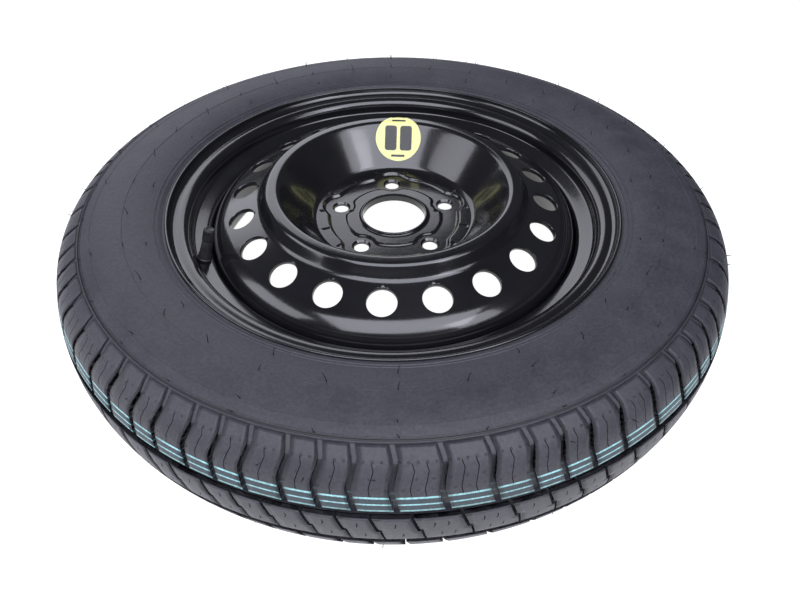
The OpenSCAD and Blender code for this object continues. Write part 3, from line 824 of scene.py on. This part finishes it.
def noise(tree, scale, detail=3.0, roughness=0.5, vector=None):
    where = vector or add(tree, "ShaderNodeTexCoord").outputs["Object"]
    return add(tree, "ShaderNodeTexNoise", {"Vector": where, "Scale": scale, "Detail": detail,
                                            "Roughness": roughness}).outputs["Fac"]


def ramp(tree, fac, stops, interpolation="LINEAR"):
    node = add(tree, "ShaderNodeValToRGB", {"Fac": fac})
    node.color_ramp.interpolation = interpolation
    while len(node.color_ramp.elements) < len(stops):
        node.color_ramp.elements.new(0.5)
    for element, (place, colour) in zip(node.color_ramp.elements, stops):
        element.position = place
        element.color = (*colour, 1) if len(colour) == 3 else colour
    return node.outputs["Color"]


def grey(value):
    return (value, value, value)


def scaled(colour, factor):
    return tuple(factor * c for c in colour)


def greys(tree, fac, start, low, end, high):
    """Greys from low to high while the factor goes from start to end."""
    return ramp(tree, fac, [(start, grey(low)), (end, grey(high))])


def distance(tree, x, y):
    return calc(tree, "SQRT", calc(tree, "ADD", calc(tree, "MULTIPLY", x, x), calc(tree, "MULTIPLY", y, y)))


def mix(tree, fac, a, b, blend="MIX"):
    node = add(tree, "ShaderNodeMix", data_type="RGBA", blend_type=blend)
    for key, value in ((0, fac), (6, a), (7, b)):
        if isinstance(value, bpy.types.NodeSocket):
            tree.links.new(value, node.inputs[key])
        else:
            node.inputs[key].default_value = value if key == 0 else (*value, 1)
    return node.outputs[2]


def bump(tree, height, strength, distance, below=None):
    inputs = {"Height": height, "Strength": strength, "Distance": distance}
    if below:
        inputs["Normal"] = below
    return add(tree, "ShaderNodeBump", inputs).outputs["Normal"]


def tyre_rubber():
    material, tree, shader = fresh("tyre_rubber")
    across = add(tree, "ShaderNodeAttribute", attribute_name="across").outputs["Fac"]
    place = add(tree, "ShaderNodeAttribute", attribute_name="on_block").outputs["Vector"]
    parts = add(tree, "ShaderNodeSeparateXYZ", {"Vector": place})
    along, row, lift = parts.outputs
    rubber, line, tinted = (0.033, 0.033, 0.042), (0.30, 0.60, 0.62), (0.026, 0.042, 0.054)
    # Near-black colour laid in the groove at the wall's edge: painted shade of the groove
    groove_shade = (0.006, 0.006, 0.008)
    share = calc(tree, "DIVIDE", across, 100.0)
    # Three painted lines on the shoulder, and painted shade that blackens the groove at the wall's edge
    paint = ramp(tree, share, [
        (0, rubber), (0.2303, line), (0.2437, tinted), (0.2857, line), (0.3003, tinted), (0.342, line),
        (0.358, rubber), (0.7365, groove_shade), (0.7535, rubber)], "CONSTANT")
    # The painted lines only touch the floor of a slot
    on_top = calc(tree, "GREATER_THAN", lift, -0.6)
    paint = mix(tree, calc(tree, "MULTIPLY_ADD", on_top, 0.85, 0.15), rubber, paint)
    mottle = noise(tree, 38.0, 5.0, 0.6)
    smear = noise(tree, 9.0, 3.0, 0.55)
    fine = noise(tree, 420.0, 4.0, 0.7)
    colour = mix(tree, 1.0, paint, greys(tree, mottle, 0.3, 0.78, 0.7, 1.22), "MULTIPLY")
    colour = mix(tree, 1.0, colour, greys(tree, fine, 0.32, 0.62, 0.68, 1.42), "MULTIPLY")
    colour = mix(tree, calc(tree, "MULTIPLY", smear, 0.22), colour, (0.062, 0.060, 0.070))
    tree.links.new(greys(tree, mottle, 0.25, 0.47, 0.75, 0.62), shader.inputs["Roughness"])
    # Small round mould marks on the shoulder blocks, in three rows, each with painted shade darkening its
    # sunken wall
    dots = None
    for centre, spacing, offset in ((60.5, 6.4, 0.6), (49.5, 11.5, 2.0), (42.0, 9.6, 1.2)):
        x = calc(tree, "PINGPONG", calc(tree, "ADD", along, 60.0 + offset), spacing / 2)
        y = calc(tree, "SUBTRACT", row, centre)
        dot = greys(tree, distance(tree, x, y), 0.55, 0, 1.0, 1)
        dots = dot if dots is None else mix(tree, 1.0, dots, dot, "MULTIPLY")
    grain = noise(tree, 2400.0, 2.0, 0.6)
    # Painted shade: the colour darkens on each dimple's wall, where the bump sinks it
    dimple_shade = ramp(tree, dots, [(0.0, grey(0.95)), (0.35, grey(0.45)), (0.75, grey(0.5)), (1.0, grey(1.0))])
    tree.links.new(mix(tree, 1.0, colour, dimple_shade, "MULTIPLY"), shader.inputs["Base Color"])
    normal = bump(tree, dots, 0.9, 0.0008)
    normal = bump(tree, grain, 0.25, 0.00012, normal)
    normal = bump(tree, fine, 0.30, 0.0004, normal)
    normal = bump(tree, mottle, 0.25, 0.0030, normal)
    tree.links.new(normal, shader.inputs["Normal"])
    shader.inputs["Specular IOR Level"].default_value = 0.55
    shader.inputs["Sheen Weight"].default_value = 0.05
    shader.inputs["Sheen Roughness"].default_value = 0.45
    shader.inputs["Sheen Tint"].default_value = (0.80, 0.80, 1.0, 1)
    return material


def black_paint(name, base, rough, peel=0.05):
    """Gloss paint with a faint orange peel, thin dust and slightly uneven gloss."""
    material, tree, shader = fresh(name)
    cloud = noise(tree, 14.0, 4.0, 0.6)
    specks = noise(tree, 900.0, 2.0, 0.7)
    dust = greys(tree, specks, 0.66, 0, 0.74, 1)
    colour = ramp(tree, cloud, [(0.3, scaled(base, 0.85)), (0.75, scaled(base, 1.25))])
    colour = mix(tree, calc(tree, "MULTIPLY", dust, 0.10), colour, (0.12, 0.12, 0.13))
    tree.links.new(colour, shader.inputs["Base Color"])
    tree.links.new(greys(tree, cloud, 0.25, rough * 0.8, 0.8, rough * 1.4), shader.inputs["Roughness"])
    normal = bump(tree, noise(tree, 210.0, 2.0, 0.45), peel, 0.0008)
    normal = bump(tree, noise(tree, 45.0, 2.0, 0.5), peel * 0.7, 0.002, normal)
    tree.links.new(normal, shader.inputs["Normal"])
    shader.inputs["Specular IOR Level"].default_value = 0.6
    shader.inputs["Coat Weight"].default_value = 0.4
    shader.inputs["Coat Roughness"].default_value = 0.07
    return material


def plain_rubber(name, base, rough):
    material, tree, shader = fresh(name)
    cloud = noise(tree, 300.0, 4.0, 0.6)
    colour = ramp(tree, cloud, [(0.3, scaled(base, 0.8)), (0.75, scaled(base, 1.3))])
    tree.links.new(colour, shader.inputs["Base Color"])
    tree.links.new(greys(tree, cloud, 0.2, rough - 0.08, 0.8, rough + 0.1), shader.inputs["Roughness"])
    tree.links.new(bump(tree, noise(tree, 3200.0, 3.0, 0.6), 0.2, 0.0001), shader.inputs["Normal"])
    return material


def turned_metal(name, base, rough):
    """Metal with fine turning marks and a little tarnish."""
    material, tree, shader = fresh(name)
    shader.inputs["Metallic"].default_value = 1.0
    cloud = noise(tree, 420.0, 4.0, 0.6)
    tree.links.new(ramp(tree, cloud, [(0.3, scaled(base, 0.7)), (0.7, base)]), shader.inputs["Base Color"])
    tree.links.new(greys(tree, cloud, 0.3, rough + 0.12, 0.7, rough), shader.inputs["Roughness"])
    where = add(tree, "ShaderNodeMapping", {"Vector": add(tree, "ShaderNodeTexCoord").outputs["Object"],
                                            "Scale": (60.0, 60.0, 9000.0)})
    marks = noise(tree, 1.0, 2.0, 0.5, where.outputs["Vector"])
    tree.links.new(bump(tree, marks, 0.15, 0.00005), shader.inputs["Normal"])
    return material


def label_print():
    """Pale yellow film with plain dark bars where the print is."""
    material, tree, shader = fresh("label_film")
    uv = add(tree, "ShaderNodeUVMap", uv_map="print").outputs["UV"]
    parts = add(tree, "ShaderNodeSeparateXYZ", {"Vector": uv})
    u, v = parts.outputs[0], parts.outputs[1]

    def bar(cx, cy, half_w, half_h, corner):
        """1 inside an upright bar with rounded corners."""
        def past(at, middle, half):
            away = calc(tree, "ABSOLUTE", calc(tree, "SUBTRACT", at, middle))
            return calc(tree, "MAXIMUM", calc(tree, "SUBTRACT", away, half - corner), 0.0)

        away = distance(tree, past(u, cx, half_w), past(v, cy, half_h))
        return calc(tree, "LESS_THAN", away, corner)

    bars = [bar(0.335, 0.5, 0.13, 0.27, 0.06), bar(0.668, 0.5, 0.13, 0.27, 0.06),
            bar(0.5, 0.885, 0.15, 0.020, 0.012), bar(0.5, 0.115, 0.15, 0.024, 0.014)]
    ink = bars[0]
    for other in bars[1:]:
        ink = calc(tree, "MAXIMUM", ink, other)
    cloud = noise(tree, 90.0, 3.0, 0.6)
    film = ramp(tree, cloud, [(0.3, (0.80, 0.80, 0.30)), (0.75, (0.88, 0.88, 0.38))])
    tree.links.new(mix(tree, ink, film, (0.012, 0.012, 0.014)), shader.inputs["Base Color"])
    tree.links.new(greys(tree, cloud, 0.2, 0.22, 0.8, 0.34), shader.inputs["Roughness"])
    tree.links.new(bump(tree, noise(tree, 160.0, 2.0, 0.5), 0.08, 0.0003), shader.inputs["Normal"])
    return material


def dress(piece, material):
    piece.data.materials.clear()
    piece.data.materials.append(material)


tyre = make_tyre()
rim = make_rim()
disc = make_disc()
cut_disc(disc)
welds = make_welds()
valve_body = make_valve_body()
cap = make_cap()
label = make_label()
hairs = make_hairs()

rubber = tyre_rubber()
paint = black_paint("wheel_paint", (0.0070, 0.0070, 0.0088), 0.16)
weld_paint = black_paint("weld_paint", (0.010, 0.010, 0.011), 0.16, 0.08)
valve_rubber = plain_rubber("valve_rubber", (0.020, 0.020, 0.022), 0.42)
cap_plastic = plain_rubber("cap_plastic", (0.014, 0.014, 0.016), 0.34)
seal_rubber = plain_rubber("seal_rubber", (0.012, 0.012, 0.013), 0.5)
hair_rubber = plain_rubber("hair_rubber", (0.006, 0.006, 0.008), 0.55)
red_seal = plain_rubber("red_seal", (0.45, 0.03, 0.02), 0.4)
brass = turned_metal("valve_brass", (0.78, 0.58, 0.26), 0.22)
steel = turned_metal("spring_steel", (0.62, 0.63, 0.66), 0.25)

for piece, material, node, slot, body in (
        (tyre, rubber, "tyre", "tyre_rubber", "wheel"),
        (hairs, hair_rubber, "tyre", "tyre_rubber", "wheel"),
        (rim, paint, "rim", "wheel_paint", "wheel"),
        (disc, paint, "disc", "wheel_paint", "wheel"),
        (welds, weld_paint, "disc_welds", "weld_paint", "wheel"),
        (valve_body, valve_rubber, "valve_body", "valve_rubber", "wheel"),
        (cap, cap_plastic, "valve_cap", "cap_plastic", "cap"),
        (label, label_print(), "speed_label", "label_film", "wheel")):
    dress(piece, material)
    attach(piece, body)
    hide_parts(node)

for name, material in (
        ("valve_stem", brass), ("core_barrel", brass), ("core_pin", brass), ("core_plunger", brass),
        ("barrel_seal", red_seal), ("plunger_seal", seal_rubber), ("cap_seal", seal_rubber),
        ("core_spring", steel)):
    dress(nodes[name], material)

# Floor, lights and camera
scene = bpy.context.scene
scene.view_settings.view_transform = "Standard"
scene.view_settings.look = "None"

bpy.ops.object.select_all(action="DESELECT")
bpy.ops.mesh.primitive_circle_add(vertices=96, radius=7, fill_type="NGON", location=(0, 0, 0))
floor = named("floor")
floor_paint, tree, shader = fresh("floor_paint")
tree.links.new(greys(tree, noise(tree, 1.5, 2.0), 0.2, 0.30, 0.8, 0.34), shader.inputs["Base Color"])
shader.inputs["Roughness"].default_value = 0.9
shader.inputs["Specular IOR Level"].default_value = 0.1
shader.inputs["Emission Color"].default_value = (1, 1, 1, 1)
shader.inputs["Emission Strength"].default_value = 0.98
dress(floor, floor_paint)

world = bpy.data.worlds.new("studio")
scene.world = world
world.use_nodes = True
world.node_tree.nodes["Background"].inputs["Color"].default_value = (0.86, 0.88, 1.0, 1)
world.node_tree.nodes["Background"].inputs["Strength"].default_value = 0.08


def softbox(name, place, aim, width, height, radiance, colour):
    """A rectangular light of an even brightness, turned to what it lights."""
    data = bpy.data.lights.new(name, "AREA")
    data.shape = "RECTANGLE"
    data.size, data.size_y = width, height
    data.energy = radiance * width * height * math.pi
    data.color = colour
    lamp = bpy.data.objects.new(name, data)
    scene.collection.objects.link(lamp)
    lamp.location = place
    lamp.rotation_euler = (Vector(aim) - Vector(place)).to_track_quat("-Z", "Y").to_euler()
    return lamp


softbox("front_box", (0.10, -0.95, 1.70), (0, 0, 0.1), 2.3, 1.45, 4.2, (0.89, 0.90, 1.0))
softbox("right_box", (1.15, -1.00, 1.20), (0, 0, 0.1), 0.8, 0.8, 3.6, (0.90, 0.90, 1.0))
softbox("left_box", (-1.75, -0.45, 1.15), (0, 0, 0.1), 1.4, 1.0, 3.2, (0.90, 0.91, 1.0))
softbox("low_box", (-0.3, -2.0, 0.60), (0, 0, 0.1), 1.8, 0.4, 1.6, (0.90, 0.90, 1.0))
softbox("back_box", (-0.65, 1.50, 1.00), (0, 0, 0.1), 1.8, 0.9, 2.1, (0.90, 0.91, 1.0))

bpy.ops.object.select_all(action="DESELECT")
bpy.ops.mesh.primitive_grid_add(x_subdivisions=4, y_subdivisions=4, size=1, location=(0, 0, 0))
card = named("dark_card")
card_place = Matrix.Translation((0.66, 0.05, 0.22)) @ turn(-70, "Y")
card.data.transform(card_place @ Matrix.Diagonal((0.50, 1.30, 1, 1)))
card_paint, tree, shader = fresh("card_paint")
shader.inputs["Base Color"].default_value = (0.02, 0.02, 0.02, 1)
shader.inputs["Roughness"].default_value = 0.9
dress(card, card_paint)
card.visible_camera = False

camera_data = bpy.data.cameras.new("camera")
camera_data.lens = 27.68
camera_data.sensor_width = 36
camera = bpy.data.objects.new("camera", camera_data)
scene.collection.objects.link(camera)
camera.location = (0, -0.51085, 0.47435)
camera.rotation_euler = (math.radians(45.0999), math.radians(-0.1474), math.radians(-0.5907))
scene.camera = camera
